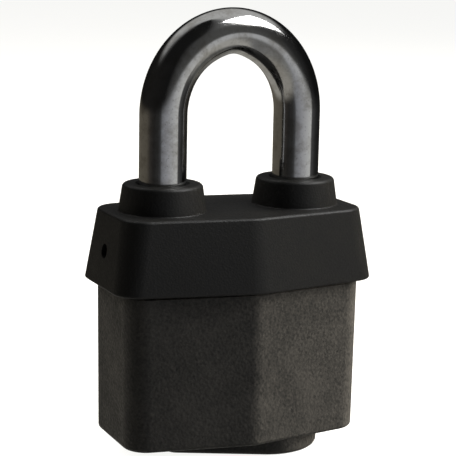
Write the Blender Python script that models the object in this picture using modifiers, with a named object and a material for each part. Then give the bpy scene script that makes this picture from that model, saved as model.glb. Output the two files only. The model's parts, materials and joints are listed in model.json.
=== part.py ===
"""Weather-covered laminated padlock: steel shackle, plastic covers, plate body and pin cylinder.

Stands upright on its dust cover: origin under the middle of the body, +X towards the toe of
the shackle, +Y to the back, +Z up. Sizes are in millimetres and become metres in to_metres().
At rest the shackle is down and the cylinder stands in its open position.
"""

import math

import bmesh
import bpy
from mathutils import Matrix, Vector

# Clearances
GAP = 0.3                     # between pieces that touch on the real lock
TURNING_GAP = 0.15            # between the plug and its bore
SLIDING_GAP = 0.35            # round a leg, a rivet or a pin in its hole
CUT_OVER = 1.0                # how far a cutter runs past what it cuts

# Shackle
WIRE_RADIUS = 5.56
LEG_SPACING = 34.3            # between the two leg axes
BOW_RISE = 1.85               # how far the bow is taller than a half circle
SHACKLE_CLEARANCE = 15.7      # from the collar tops up to the centre of the bow
LEG_CHAMFER = 1.2
NECK_DEPTH = 1.16             # how deep the heel leg is turned down for its neck
HEEL_COLLAR_HEIGHT = 3.5
LIFT_MARGIN = 0.6             # air between the toe and the collar when the shackle is up

# Six-sided plans: how far each reaches past the leg axis, half depth at the middle ridge, half
# length of a side facet
JACKET_SIZES = (12.65, 17.5, 12.85)
JACKET_CORNER = 5.8
JACKET_TAPER = 0.99           # bottom plan over top plan
JACKET_HEIGHT = 39.1
JACKET_FLOOR = 2.0
JACKET_EDGE = 1.0
JACKET_RIM_STEP = 0.8         # how far the rim inside the cap stands back
CAP_LOWER_SIZES = (15.5, 20.2, 14.25)
CAP_UPPER_SIZES = (13.0, 16.7, 12.45)
CAP_CORNER = 6.3
CAP_WALL = 1.9
CAP_TOP = 2.4
CAP_EDGE = 1.0
CAP_HEIGHT = 17.1             # from the cap's lower edge to its top face
CAP_START = 36.95             # from the jacket's bottom face to the cap's lower edge
COLLAR_BASE_RADIUS = 10.25
COLLAR_TOP_RADIUS = 9.45
COLLAR_HEIGHT = 6.45
COLLAR_ROUND = 1.2
SEAL_HEIGHT = 3.6
SEAL_RADIUS = 7.7

# Dust cover
COVER_DEPTH = 4.75            # from the jacket's bottom face to the floor
COVER_CENTRE = 10.3
COVER_RADIUS = 12.9
COVER_PIVOT = -12.7
COVER_PIVOT_RADIUS = 3.3
COVER_EDGE = 0.9
COVER_PIN_RADIUS = 1.2
COVER_PIN_HEAD = 2.0
COVER_PIN_HEAD_HEIGHT = 0.8
WASHER_RADIUS = 2.3
WASHER_HEIGHT = 0.5

# Laminated body
PLATE_SIZES = (9.85, 14.0, 10.6)
PLATE_CORNER = 4.5
PLATE_COUNT = 12
RIVET_RADIUS = 1.6
RIVET_HEAD = 2.6
RIVET_HEAD_HEIGHT = 1.0
RIVET_FROM_LEG = 4.35
RIVET_Y = 8.2
CYLINDER_PLATES = 6           # plates that the cylinder stands in
TAILPIECE_PLATE = 6
SCREW_HEAD_PLATE = 7
FIRST_TOE_PLATE = 8
BALL_PLATES = (9, 10)

# Lock cylinder
PLUG_RADIUS = 6.0
SHELL_RADIUS = 8.2
HOUSING_PAST_LEG = 2.85       # how far the pin housing reaches past the toe leg's axis
HOUSING_HALF_WIDTH = 4.4
SHELL_HEIGHT = 21.7
PLUG_FACE_DROP = 0.7          # how far the plug's face stands below the shell
STUB_RADIUS = 4.2
STUB_HEIGHT = 2.3
CLIP_GROOVE_RADIUS = 3.7
CLIP_RADIUS = 6.6
CLIP_HEIGHT = 0.8
CLIP_OPENING = math.radians(55)  # half of the clip's open side
KEYWAY_WIDTH = 2.2
KEYWAY_BOTTOM = -4.6
KEYWAY_TOP = 3.2
PIN_COUNT = 5
PIN_PITCH = 4.0
FIRST_PIN = 3.3               # above the shell's lower face
PIN_RADIUS = 1.35
PIN_HOLE_RADIUS = 1.65
PIN_POINT = 0.8
KEY_PIN_LENGTH = 4.4
KEY_PIN_TRAVEL = 1.5
DRIVER_LENGTH = 4.0
CHAMBER_COVER_HEIGHT = 1.2
CHAMBER_COVER_HALF_WIDTH = 2.6
PIN_SPRING_WIRE = 0.2
PIN_SPRING_RADIUS = 1.05
PIN_SPRING_TURNS = 3.5
TAILPIECE_WIDTH = 6.0
TAILPIECE_THICKNESS = 1.6
TAILPIECE_SEAT = 1.5          # how deep the tailpiece stands in the plug's stub
TAILPIECE_TOP_SEAT = 3.2      # how deep it stands in the cam

# Ball lock
BALL_BITE = 2.3               # how far a locked ball stands in its leg
CAM_TURN = math.pi / 2
CAM_STEM_RADIUS = 4.5
CAM_CHAMBER_GAP = 0.35

# Fasteners
RETAINING_SCREW_RADIUS = 2.0
RETAINING_SCREW_HEAD = 3.0
RETAINING_SCREW_HEAD_HEIGHT = 2.9
RETAINING_SCREW_SOCKET = 1.5
CAP_SCREW_RADIUS = 1.2
CAP_SCREW_HEAD = 2.0
CAP_SCREW_HEAD_HEIGHT = 1.2
CAP_SCREW_BITE = 2.8          # thread length in the plate
SHACKLE_SPRING_WIRE = 0.5
SHACKLE_SPRING_RADIUS = 3.9
SHACKLE_SPRING_TURNS = 4.5

# Roundness of the faceted surfaces, in sides of a full turn unless stated
ROUND_STEPS = 24
FINE_STEPS = 32               # the plug and its bore
MEDIUM_STEPS = 16
SMALL_STEPS = 12
HOLE_STEPS = 8                # small holes in a plate
CORNER_STEPS = 3              # one corner of a six-sided plan
CHAMBER_STEPS = 6             # one side of the cam chamber
LOBE_STEPS = 10               # one spiral of the cam
POCKET_STEPS = 4              # one pocket wall of the cam
COIL_STEPS = 12
PIN_COIL_STEPS = 7
SOCKET_SIDES = 6
SHACKLE_BEVEL = 6             # bevel resolution of the shackle wire
COIL_BEVEL = 2
BALL_RINGS = 10
SMOOTH_ANGLE = math.radians(35)
WIRE_SMOOTH_ANGLE = math.radians(50)
BALL_SMOOTH_ANGLE = math.radians(60)

# Shares that shape small edges
EDGE_SHARE = 0.3              # how far in the middle ring of a rounded edge stands
PIN_TIP_SHARE = 0.7           # of the radius, at the tip of the dust cover's pin
PIN_TIP_SLOPE = 0.5
PIN_DOME_SHARE = 0.6
RIVET_DOME_SHARE = 0.7
RIVET_DOME_HEIGHT = 0.5
KEY_POINT_SHARE = 0.3
DRIVER_HEAD_SHARE = 0.8
DRIVER_FOOT_SHARE = 0.85
SCREW_CROWN_SHARE = 0.8



def six_sizes(past_leg, half_ridge, half_flank):
    return LEG_SPACING / 2 + past_leg, half_ridge, half_flank


# Heights and places that follow from the sizes above
JACKET_PLAN = six_sizes(*JACKET_SIZES)
CAP_LOWER_PLAN = six_sizes(*CAP_LOWER_SIZES)
CAP_UPPER_PLAN = six_sizes(*CAP_UPPER_SIZES)
PLATE_PLAN = six_sizes(*PLATE_SIZES)
JACKET_BOTTOM = COVER_DEPTH
STACK_BOTTOM = JACKET_BOTTOM + JACKET_FLOOR + GAP
CAP_BOTTOM = JACKET_BOTTOM + CAP_START
CAP_TOP_FACE = CAP_BOTTOM + CAP_HEIGHT
CAP_CEILING = CAP_TOP_FACE - CAP_TOP
STACK_TOP = CAP_CEILING - GAP
COLLAR_TOP_FACE = CAP_TOP_FACE + COLLAR_HEIGHT
BOW_CENTRE = COLLAR_TOP_FACE + SHACKLE_CLEARANCE
PLATE_PITCH = (STACK_TOP - STACK_BOTTOM + GAP) / PLATE_COUNT
PLATE_THICKNESS = PLATE_PITCH - GAP
LEG_X = LEG_SPACING / 2
LEG_HOLE_RADIUS = WIRE_RADIUS + SLIDING_GAP
LEG_INNER_FACE = LEG_X - WIRE_RADIUS
NECK_RADIUS = WIRE_RADIUS - NECK_DEPTH
RIVET_X = LEG_X + RIVET_FROM_LEG
HOUSING_REACH = LEG_X + HOUSING_PAST_LEG
SHELL_BOTTOM = STACK_BOTTOM
SHELL_TOP = SHELL_BOTTOM + SHELL_HEIGHT
PLUG_BOTTOM = SHELL_BOTTOM - PLUG_FACE_DROP
STUB_TOP = SHELL_TOP + STUB_HEIGHT
BALL_RADIUS = PLATE_THICKNESS + GAP / 2  # a ball runs in the thickness of two plates
BALL_REACH = BALL_RADIUS + GAP
LOCKED_BALL = LEG_INNER_FACE - BALL_RADIUS + BALL_BITE
OPEN_TOE_BALL = LEG_INNER_FACE - BALL_REACH
OPEN_HEEL_BALL = LEG_X - NECK_RADIUS - BALL_REACH
CAM_RADIUS = LOCKED_BALL - BALL_REACH
CAM_CHAMBER_RADIUS = max(CAM_RADIUS, BALL_REACH) + CAM_CHAMBER_GAP
CAM_CORE_RADIUS = min(CAM_STEM_RADIUS, OPEN_TOE_BALL - BALL_REACH - GAP)


def plate_bottom(index):
    return STACK_BOTTOM + index * PLATE_PITCH


def plate_top(index):
    return plate_bottom(index) + PLATE_THICKNESS


CHANNEL_BOTTOM = plate_top(BALL_PLATES[0] - 1)
CHANNEL_TOP = plate_bottom(BALL_PLATES[1] + 1)
BALL_HEIGHT = (CHANNEL_BOTTOM + CHANNEL_TOP) / 2
TOE_BOTTOM = BALL_HEIGHT - BALL_REACH - LEG_CHAMFER
SHACKLE_LIFT = COLLAR_TOP_FACE - TOE_BOTTOM + LIFT_MARGIN
OPEN_BITE_HALF = math.sqrt(BALL_RADIUS**2 - (LEG_INNER_FACE - OPEN_HEEL_BALL) ** 2)
HEEL_COLLAR_TOP = BALL_HEIGHT - SHACKLE_LIFT - OPEN_BITE_HALF - GAP
NECK_TOP = BALL_HEIGHT + GAP / 2
HEEL_BOTTOM = HEEL_COLLAR_TOP - HEEL_COLLAR_HEIGHT
CAM_STEM_BOTTOM = plate_top(TAILPIECE_PLATE) + GAP
CAM_HEAD_BOTTOM = CHANNEL_BOTTOM + GAP
CAM_TOP = CHANNEL_TOP - GAP
TAILPIECE_HOLE_RADIUS = math.hypot(TAILPIECE_WIDTH, TAILPIECE_THICKNESS) / 2 + GAP
DRIVER_INNER = PLUG_RADIUS + TURNING_GAP + GAP / 2
COVER_SEAT = HOUSING_REACH - CHAMBER_COVER_HEIGHT - GAP
SIDE_SCREW_HEIGHT = (plate_bottom(BALL_PLATES[1]) + plate_top(BALL_PLATES[1])) / 2


def to_metres(*values):
    return tuple(value / 1000 for value in values)


# ---------------------------------------------------------------- scene and materials

for old in list(bpy.data.objects):
    bpy.data.objects.remove(old, do_unlink=True)

parts = bpy.data.collections.new("padlock")
cutters = bpy.data.collections.new("cutters")
bpy.context.scene.collection.children.link(parts)
bpy.context.scene.collection.children.link(cutters)


def material(name, colour, roughness, metallic):
    made = bpy.data.materials.new(name)
    made.use_nodes = True
    shader = made.node_tree.nodes["Principled BSDF"]
    shader.inputs["Base Color"].default_value = (*colour, 1.0)
    shader.inputs["Roughness"].default_value = roughness
    shader.inputs["Metallic"].default_value = metallic
    made.diffuse_color = (*colour, 1.0)
    return made


CHROME = material("chrome", (0.55, 0.55, 0.54), 0.08, 1.0)
BLACK_PLASTIC = material("black_plastic", (0.012, 0.012, 0.013), 0.45, 0.0)
JACKET_PLASTIC = material("jacket_plastic", (0.02, 0.02, 0.02), 0.4, 0.0)
PLATE_STEEL = material("plate_steel", (0.45, 0.44, 0.42), 0.4, 1.0)
BRASS = material("brass", (0.6, 0.42, 0.16), 0.35, 1.0)
SPRING_STEEL = material("spring_steel", (0.4, 0.4, 0.42), 0.3, 1.0)
RUBBER = material("rubber", (0.015, 0.015, 0.015), 0.8, 0.0)
ZINC = material("zinc", (0.4, 0.41, 0.43), 0.4, 1.0)


# ---------------------------------------------------------------- making objects

def place(name, mesh, surface, collection=parts, at=(0, 0, 0)):
    thing = bpy.data.objects.new(name, mesh)
    collection.objects.link(thing)
    thing.location = to_metres(*at)
    if surface is None:
        thing.hide_render = True
        thing.display_type = "WIRE"
    else:
        mesh.materials.append(surface)
    return thing


def mesh_of(source, name):
    """The evaluated mesh of a curve or modified object, welded and in world space."""
    bpy.context.view_layer.update()
    graph = bpy.context.evaluated_depsgraph_get()
    made = bpy.data.meshes.new_from_object(source.evaluated_get(graph))
    made.name = name
    made.transform(source.matrix_world)
    bm = bmesh.new()
    bm.from_mesh(made)
    bmesh.ops.remove_doubles(bm, verts=bm.verts, dist=1e-6)
    bmesh.ops.recalc_face_normals(bm, faces=bm.faces)
    bm.to_mesh(made)
    bm.free()
    bpy.data.objects.remove(source, do_unlink=True)
    return made


def smooth(thing, angle=SMOOTH_ANGLE):
    thing.data.shade_smooth()
    thing.data.set_sharp_from_angle(angle=angle)


def loft(name, rings, surface, collection=parts):
    """A closed solid through rings of the same number of points; each ring is (outline, height)."""
    bm = bmesh.new()
    loops = [[bm.verts.new(to_metres(x, y, z)) for x, y in outline] for outline, z in rings]
    for lower, upper in zip(loops, loops[1:]):
        count = len(lower)
        for i in range(count):
            j = (i + 1) % count
            bm.faces.new((lower[i], lower[j], upper[j], upper[i]))
    bm.faces.new(list(reversed(loops[0])))
    bm.faces.new(loops[-1])
    bmesh.ops.recalc_face_normals(bm, faces=bm.faces)
    mesh = bpy.data.meshes.new(name)
    bm.to_mesh(mesh)
    bm.free()
    thing = place(name, mesh, surface, collection)
    smooth(thing)
    return thing


def turned(name, profile, surface, collection=parts, at=(0, 0, 0), steps=ROUND_STEPS, ring=False):
    """A turned solid about Z. The (radius, height) profile runs down its outer side."""
    mesh = bpy.data.meshes.new(name)
    points = [to_metres(radius, 0, height) for radius, height in profile]
    edges = [(i, i + 1) for i in range(len(points) - 1)]
    if ring:
        edges.append((len(points) - 1, 0))
    mesh.from_pydata(points, edges, [])
    thing = place(name, mesh, surface, collection, at)
    screw = thing.modifiers.new("turn", "SCREW")
    screw.axis = "Z"
    screw.steps = steps
    screw.render_steps = steps
    screw.use_merge_vertices = True
    screw.merge_threshold = 1e-6
    screw.use_smooth_shade = False
    return thing


def outline_curve(name, outlines, low, high, surface, collection=parts):
    """A flat outline with holes, given as lists of (x, y), made thick between two heights."""
    curve = bpy.data.curves.new(name, "CURVE")
    curve.dimensions = "2D"
    curve.fill_mode = "BOTH"
    curve.extrude = (high - low) / 2 / 1000
    for outline in outlines:
        spline = curve.splines.new("POLY")
        spline.points.add(len(outline) - 1)
        for point, (x, y) in zip(spline.points, outline):
            point.co = (*to_metres(x, y), 0, 1)
        spline.use_cyclic_u = True
    source = bpy.data.objects.new(name, curve)
    collection.objects.link(source)
    source.location = to_metres(0, 0, (low + high) / 2)
    return place(name, mesh_of(source, name), surface, collection)


def wire(name, points, radius, surface, sides=COIL_BEVEL, first_radius=None):
    """A round wire along a list of (x, y, z). Its first point can be thinner, for a chamfered end."""
    curve = bpy.data.curves.new(name, "CURVE")
    curve.dimensions = "3D"
    curve.bevel_depth = radius / 1000
    curve.bevel_resolution = sides
    curve.use_fill_caps = True
    spline = curve.splines.new("POLY")
    spline.points.add(len(points) - 1)
    for point, place_mm in zip(spline.points, points):
        point.co = (*to_metres(*place_mm), 1)
    if first_radius:
        spline.points[0].radius = first_radius / radius
    source = bpy.data.objects.new(name, curve)
    parts.objects.link(source)
    thing = place(name, mesh_of(source, name), surface)
    smooth(thing, WIRE_SMOOTH_ANGLE)
    return thing


def rod_cutter(name, radius, start, end, steps=ROUND_STEPS):
    """A round cutter between two points."""
    start = Vector(start)
    end = Vector(end)
    along = end - start
    bm = bmesh.new()
    bmesh.ops.create_cone(
        bm, cap_ends=True, segments=steps,
        radius1=radius / 1000, radius2=radius / 1000, depth=along.length / 1000,
    )
    turn = along.to_track_quat("Z", "Y").to_matrix().to_4x4()
    shift = Matrix.Translation((start + end) / 2 / 1000)
    bmesh.ops.transform(bm, matrix=shift @ turn, verts=bm.verts)
    mesh = bpy.data.meshes.new(name)
    bm.to_mesh(mesh)
    bm.free()
    return place(name, mesh, None, cutters)


def box(name, low, high, surface=None, collection=cutters):
    size = [b - a for a, b in zip(low, high)]
    middle = [(a + b) / 2 for a, b in zip(low, high)]
    bm = bmesh.new()
    bmesh.ops.create_cube(bm, size=1.0)
    bmesh.ops.scale(bm, vec=to_metres(*size), verts=bm.verts)
    bmesh.ops.translate(bm, vec=to_metres(*middle), verts=bm.verts)
    mesh = bpy.data.meshes.new(name)
    bm.to_mesh(mesh)
    bm.free()
    return place(name, mesh, surface, collection)


def ball(name, radius, at, surface=None, collection=cutters):
    bm = bmesh.new()
    bmesh.ops.create_uvsphere(
        bm, u_segments=MEDIUM_STEPS, v_segments=BALL_RINGS, radius=radius / 1000,
    )
    mesh = bpy.data.meshes.new(name)
    bm.to_mesh(mesh)
    bm.free()
    return place(name, mesh, surface, collection, at)


def boolean(thing, operation, other, solver="EXACT"):
    step = thing.modifiers.new(f"{operation.lower()} {other.name}", "BOOLEAN")
    step.operation = operation
    step.object = other
    step.solver = solver


def cut(thing, *others, solver="EXACT"):
    for other in others:
        boolean(thing, "DIFFERENCE", other, solver)


# ---------------------------------------------------------------- outlines

def arc(centre, radius, start, end, steps):
    """Points on an arc, both ends included, angles in radians."""
    return [
        (
            centre[0] + radius * math.cos(start + (end - start) * i / steps),
            centre[1] + radius * math.sin(start + (end - start) * i / steps),
        )
        for i in range(steps + 1)
    ]


def circle(x, y, radius, steps=ROUND_STEPS):
    return arc((x, y), radius, 0, 2 * math.pi, steps)[:-1]


def six_sided(plan, corner, inset=0.0, scale=1.0):
    """A six-sided plan with rounded corners, its edges moved inwards by inset."""
    half_width, half_ridge, half_flank = (value * scale for value in plan)
    corners = [
        Vector((half_width, -half_flank)),
        Vector((half_width, half_flank)),
        Vector((0, half_ridge)),
        Vector((-half_width, half_flank)),
        Vector((-half_width, -half_flank)),
        Vector((0, -half_ridge)),
    ]
    points = []
    for i, here in enumerate(corners):
        before = (here - corners[i - 1]).normalized()
        after = (corners[(i + 1) % 6] - here).normalized()
        normal_in = Vector((before.y, -before.x))
        normal_out = Vector((after.y, -after.x))
        towards = (normal_in + normal_out).normalized()
        centre = here - towards * (corner / towards.dot(normal_in))
        start = math.atan2(normal_in.y, normal_in.x)
        turn = normal_in.angle(normal_out)
        points += arc(centre, corner - inset, start, start + turn, CORNER_STEPS)
    return points


def between(low_plan, high_plan, share):
    return tuple(a + (b - a) * share for a, b in zip(low_plan, high_plan))


def housing_outline(extra):
    """The cylinder's outline seen from below: a round shell with the pin housing towards +X."""
    radius = SHELL_RADIUS + extra
    half = HOUSING_HALF_WIDTH + extra
    start = math.asin(half / radius)
    reach = HOUSING_REACH + extra
    round_side = arc((0, 0), radius, start, 2 * math.pi - start, ROUND_STEPS)
    return round_side + [(reach, -half), (reach, half)]


def ball_channel_outline():
    """Both leg holes, the cam chamber and the channel that the balls run in, as one opening."""
    half = BALL_REACH
    leg_angle = math.pi - math.asin(half / LEG_HOLE_RADIUS)
    chamber_angle = math.asin(half / CAM_CHAMBER_RADIUS)
    toe = arc((LEG_X, 0), LEG_HOLE_RADIUS, -leg_angle, leg_angle, ROUND_STEPS)
    back = arc((0, 0), CAM_CHAMBER_RADIUS, chamber_angle, math.pi - chamber_angle, CHAMBER_STEPS)
    heel = [(-x, -y) for x, y in toe]
    front = [(-x, -y) for x, y in back]
    return toe + back + heel + front


def cam_lobe(open_ball, start):
    """Half of the cam: the spiral that pushes one ball out, then the wall of its pocket."""
    points = []
    rate = (LOCKED_BALL - open_ball) / CAM_TURN
    for i in range(LOBE_STEPS + 1):
        angle = CAM_TURN * i / LOBE_STEPS
        radius = open_ball + rate * angle
        slope = math.atan2(rate, radius)
        centre = Vector((radius * math.cos(angle), radius * math.sin(angle)))
        inwards = Vector((-math.cos(angle - slope), -math.sin(angle - slope)))
        points.append(centre + inwards * BALL_REACH)
    pocket = []
    side = (open_ball**2 + BALL_REACH**2 - CAM_RADIUS**2) / (2 * open_ball * BALL_REACH)
    for i in range(POCKET_STEPS):
        swing = math.acos(side) * (POCKET_STEPS - i) / POCKET_STEPS
        reach = Vector((-math.cos(swing), -math.sin(swing))) * BALL_REACH
        pocket.append(Vector((open_ball, 0)) + reach)
    turn = Matrix.Rotation(start, 2)
    return [tuple(turn @ p) for p in pocket + points]


def cam_outline():
    return cam_lobe(OPEN_TOE_BALL, 0.0) + cam_lobe(OPEN_HEEL_BALL, math.pi)


def coil(radius, low, high, turns, per_turn):
    count = round(turns * per_turn)
    return [
        (
            radius * math.cos(2 * math.pi * i / per_turn),
            radius * math.sin(2 * math.pi * i / per_turn),
            low + (high - low) * i / count,
        )
        for i in range(count + 1)
    ]


# ---------------------------------------------------------------- shackle

def make_shackle():
    toe_heights = (TOE_BOTTOM, TOE_BOTTOM + LEG_CHAMFER, COLLAR_TOP_FACE)
    path = [(LEG_X, 0, height) for height in toe_heights]
    for i in range(ROUND_STEPS + 1):
        angle = math.pi * i / ROUND_STEPS
        rise = (LEG_X + BOW_RISE) * math.sin(angle)
        path.append((LEG_X * math.cos(angle), 0, BOW_CENTRE + rise))
    path += [(-LEG_X, 0, COLLAR_TOP_FACE), (-LEG_X, 0, HEEL_BOTTOM)]
    shackle = wire(
        "shackle", path, WIRE_RADIUS, CHROME,
        sides=SHACKLE_BEVEL, first_radius=WIRE_RADIUS - LEG_CHAMFER,
    )
    outer = WIRE_RADIUS + CUT_OVER
    neck = turned(
        "neck_cutter",
        [(outer, NECK_TOP), (outer, HEEL_COLLAR_TOP), (NECK_RADIUS, HEEL_COLLAR_TOP),
         (NECK_RADIUS, NECK_TOP)],
        None, cutters, (-LEG_X, 0, 0), ring=True,
    )
    toe_notch = ball("toe_notch_cutter", BALL_REACH, (LOCKED_BALL, 0, BALL_HEIGHT))
    heel_notch = ball("heel_notch_cutter", BALL_REACH, (-LOCKED_BALL, 0, BALL_HEIGHT))
    cut(shackle, neck, toe_notch, heel_notch)
    return shackle


# ---------------------------------------------------------------- covers

def make_cap():
    def ring(height, inset):
        share = (height - CAP_BOTTOM) / CAP_HEIGHT
        plan = between(CAP_LOWER_PLAN, CAP_UPPER_PLAN, share)
        return six_sided(plan, CAP_CORNER, inset), height

    cap = loft(
        "upper_cap",
        [
            ring(CAP_CEILING, CAP_WALL + CAP_EDGE),
            ring(CAP_CEILING - CAP_EDGE, CAP_WALL),
            ring(CAP_BOTTOM, CAP_WALL),
            ring(CAP_BOTTOM, CAP_EDGE / 2),
            ring(CAP_BOTTOM + CAP_EDGE / 2, 0),
            ring(CAP_TOP_FACE - CAP_EDGE, 0),
            ring(CAP_TOP_FACE - CAP_EDGE * EDGE_SHARE, CAP_EDGE * EDGE_SHARE),
            ring(CAP_TOP_FACE, CAP_EDGE),
        ],
        BLACK_PLASTIC,
    )
    seal_top = CAP_CEILING + GAP + SEAL_HEIGHT + GAP
    rounding = COLLAR_ROUND * EDGE_SHARE
    for side, name in ((-1, "heel"), (1, "toe")):
        at = (side * LEG_X, 0, 0)
        collar = turned(
            f"{name}_collar",
            [(0, COLLAR_TOP_FACE),
             (COLLAR_TOP_RADIUS - COLLAR_ROUND, COLLAR_TOP_FACE),
             (COLLAR_TOP_RADIUS - rounding, COLLAR_TOP_FACE - rounding),
             (COLLAR_TOP_RADIUS, COLLAR_TOP_FACE - COLLAR_ROUND),
             (COLLAR_BASE_RADIUS, CAP_TOP_FACE), (COLLAR_BASE_RADIUS, CAP_TOP_FACE - CAP_TOP / 2),
             (0, CAP_TOP_FACE - CAP_TOP / 2)],
            None, cutters, at,
        )
        boolean(cap, "UNION", collar, "MANIFOLD")
    for side, name in ((-1, "heel"), (1, "toe")):
        x = side * LEG_X
        start = (x, 0, CAP_CEILING - CUT_OVER)
        bore = rod_cutter(
            f"{name}_bore_cutter", LEG_HOLE_RADIUS, start, (x, 0, COLLAR_TOP_FACE + CUT_OVER),
        )
        recess = rod_cutter(
            f"{name}_seal_recess_cutter", SEAL_RADIUS + GAP, start, (x, 0, seal_top),
        )
        screw_hole = rod_cutter(
            f"{name}_cap_screw_cutter", CAP_SCREW_HEAD + GAP,
            (side * (PLATE_PLAN[0] + GAP), 0, SIDE_SCREW_HEIGHT),
            (side * (CAP_LOWER_PLAN[0] + CUT_OVER), 0, SIDE_SCREW_HEIGHT), SMALL_STEPS,
        )
        cut(cap, recess, bore, screw_hole, solver="MANIFOLD")
    return cap


def make_seals():
    for side, name in ((-1, "heel"), (1, "toe")):
        low = CAP_CEILING + GAP
        high = low + SEAL_HEIGHT
        inner = WIRE_RADIUS + GAP / 2
        turned(
            f"{name}_leg_seal",
            [(SEAL_RADIUS, high), (SEAL_RADIUS, low), (inner, low), (inner, high)],
            RUBBER, at=(side * LEG_X, 0, 0), steps=MEDIUM_STEPS, ring=True,
        )


def make_jacket():
    top = JACKET_BOTTOM + JACKET_HEIGHT

    def ring(height, inset):
        share = (height - JACKET_BOTTOM) / JACKET_HEIGHT
        scale = JACKET_TAPER + (1 - JACKET_TAPER) * share
        return six_sided(JACKET_PLAN, JACKET_CORNER, inset, scale), height

    def inner(height):
        return six_sided(PLATE_PLAN, PLATE_CORNER, -GAP), height

    jacket = loft(
        "lower_jacket",
        [
            ring(JACKET_BOTTOM, JACKET_EDGE),
            ring(JACKET_BOTTOM + JACKET_EDGE * EDGE_SHARE, JACKET_EDGE * EDGE_SHARE),
            ring(JACKET_BOTTOM + JACKET_EDGE, 0),
            ring(CAP_BOTTOM - JACKET_RIM_STEP, 0),
            ring(CAP_BOTTOM, JACKET_RIM_STEP),
            ring(top, JACKET_RIM_STEP),
            inner(top),
            inner(JACKET_BOTTOM + JACKET_FLOOR),
        ],
        JACKET_PLASTIC,
    )
    low = JACKET_BOTTOM - CUT_OVER
    high = STACK_BOTTOM + CUT_OVER
    face = rod_cutter("plug_face_cutter", PLUG_RADIUS + CUT_OVER, (0, 0, low), (0, 0, high))
    half = HOUSING_HALF_WIDTH
    housing = box("housing_face_cutter", (0, -half, low), (HOUSING_REACH, half, high))
    pivot = rod_cutter(
        "pivot_hole_cutter", COVER_PIN_RADIUS + GAP,
        (COVER_PIVOT, 0, low), (COVER_PIVOT, 0, high), SMALL_STEPS,
    )
    boolean(face, "UNION", housing)
    cut(jacket, face, pivot)
    for side, name in ((-1, "left"), (1, "right")):
        for end, where in ((-1, "front"), (1, "back")):
            at = (side * RIVET_X, end * RIVET_Y, JACKET_BOTTOM + JACKET_FLOOR / 2)
            head = rod_cutter(
                f"{name}_{where}_rivet_recess_cutter", RIVET_HEAD + GAP,
                at, (at[0], at[1], high), SMALL_STEPS,
            )
            cut(jacket, head)
    return jacket


def cover_outline(inset=0.0):
    """The dust cover's plan: a large round end over the keyway and a small one round its pivot."""
    spread = COVER_CENTRE - COVER_PIVOT
    tilt = math.acos((COVER_RADIUS - COVER_PIVOT_RADIUS) / spread)
    turn = math.pi - tilt
    large = arc((COVER_CENTRE, 0), COVER_RADIUS - inset, -turn, turn, ROUND_STEPS)
    small_radius = COVER_PIVOT_RADIUS - inset
    small = arc((COVER_PIVOT, 0), small_radius, turn, 2 * math.pi - turn, HOLE_STEPS)
    return large + small


def make_dust_cover():
    top = COVER_DEPTH - GAP
    cover = loft(
        "dust_cover",
        [
            (cover_outline(COVER_EDGE), 0),
            (cover_outline(COVER_EDGE * EDGE_SHARE), COVER_EDGE * EDGE_SHARE),
            (cover_outline(), COVER_EDGE),
            (cover_outline(), top),
        ],
        JACKET_PLASTIC,
    )
    shift = Matrix.Translation(to_metres(-COVER_PIVOT, 0, 0))
    cover.data.transform(shift)
    cover.location = to_metres(COVER_PIVOT, 0, 0)
    at = (COVER_PIVOT, 0)
    below = (*at, -CUT_OVER)
    above = (*at, top + CUT_OVER)
    head_room = rod_cutter(
        "cover_pin_head_cutter", COVER_PIN_HEAD + GAP,
        below, (*at, COVER_PIN_HEAD_HEIGHT + 2 * GAP), MEDIUM_STEPS,
    )
    hole = rod_cutter(
        "cover_pin_hole_cutter", COVER_PIN_RADIUS + GAP, below, above, MEDIUM_STEPS,
    )
    washer_room = rod_cutter(
        "cover_washer_cutter", WASHER_RADIUS + GAP,
        (*at, top - WASHER_HEIGHT), above, MEDIUM_STEPS,
    )
    cut(cover, head_room, hole, washer_room)

    head = COVER_PIN_HEAD_HEIGHT + GAP
    tip = plate_top(0) - GAP
    turned(
        "dust_cover_pin",
        [(0, tip), (COVER_PIN_RADIUS * PIN_TIP_SHARE, tip),
         (COVER_PIN_RADIUS, tip - COVER_PIN_RADIUS * PIN_TIP_SLOPE),
         (COVER_PIN_RADIUS, head), (COVER_PIN_HEAD, head), (COVER_PIN_HEAD, GAP * 2),
         (COVER_PIN_HEAD * PIN_DOME_SHARE, GAP), (0, GAP)],
        SPRING_STEEL, at=(COVER_PIVOT, 0, 0), steps=MEDIUM_STEPS,
    )
    low = top - WASHER_HEIGHT + GAP / 2
    high = low + WASHER_HEIGHT
    inner = COVER_PIN_RADIUS + GAP
    turned(
        "dust_cover_washer",
        [(WASHER_RADIUS, high), (WASHER_RADIUS, low), (inner, low), (inner, high)],
        SPRING_STEEL, at=(COVER_PIVOT, 0, 0), steps=MEDIUM_STEPS, ring=True,
    )


# ---------------------------------------------------------------- laminated body

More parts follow.
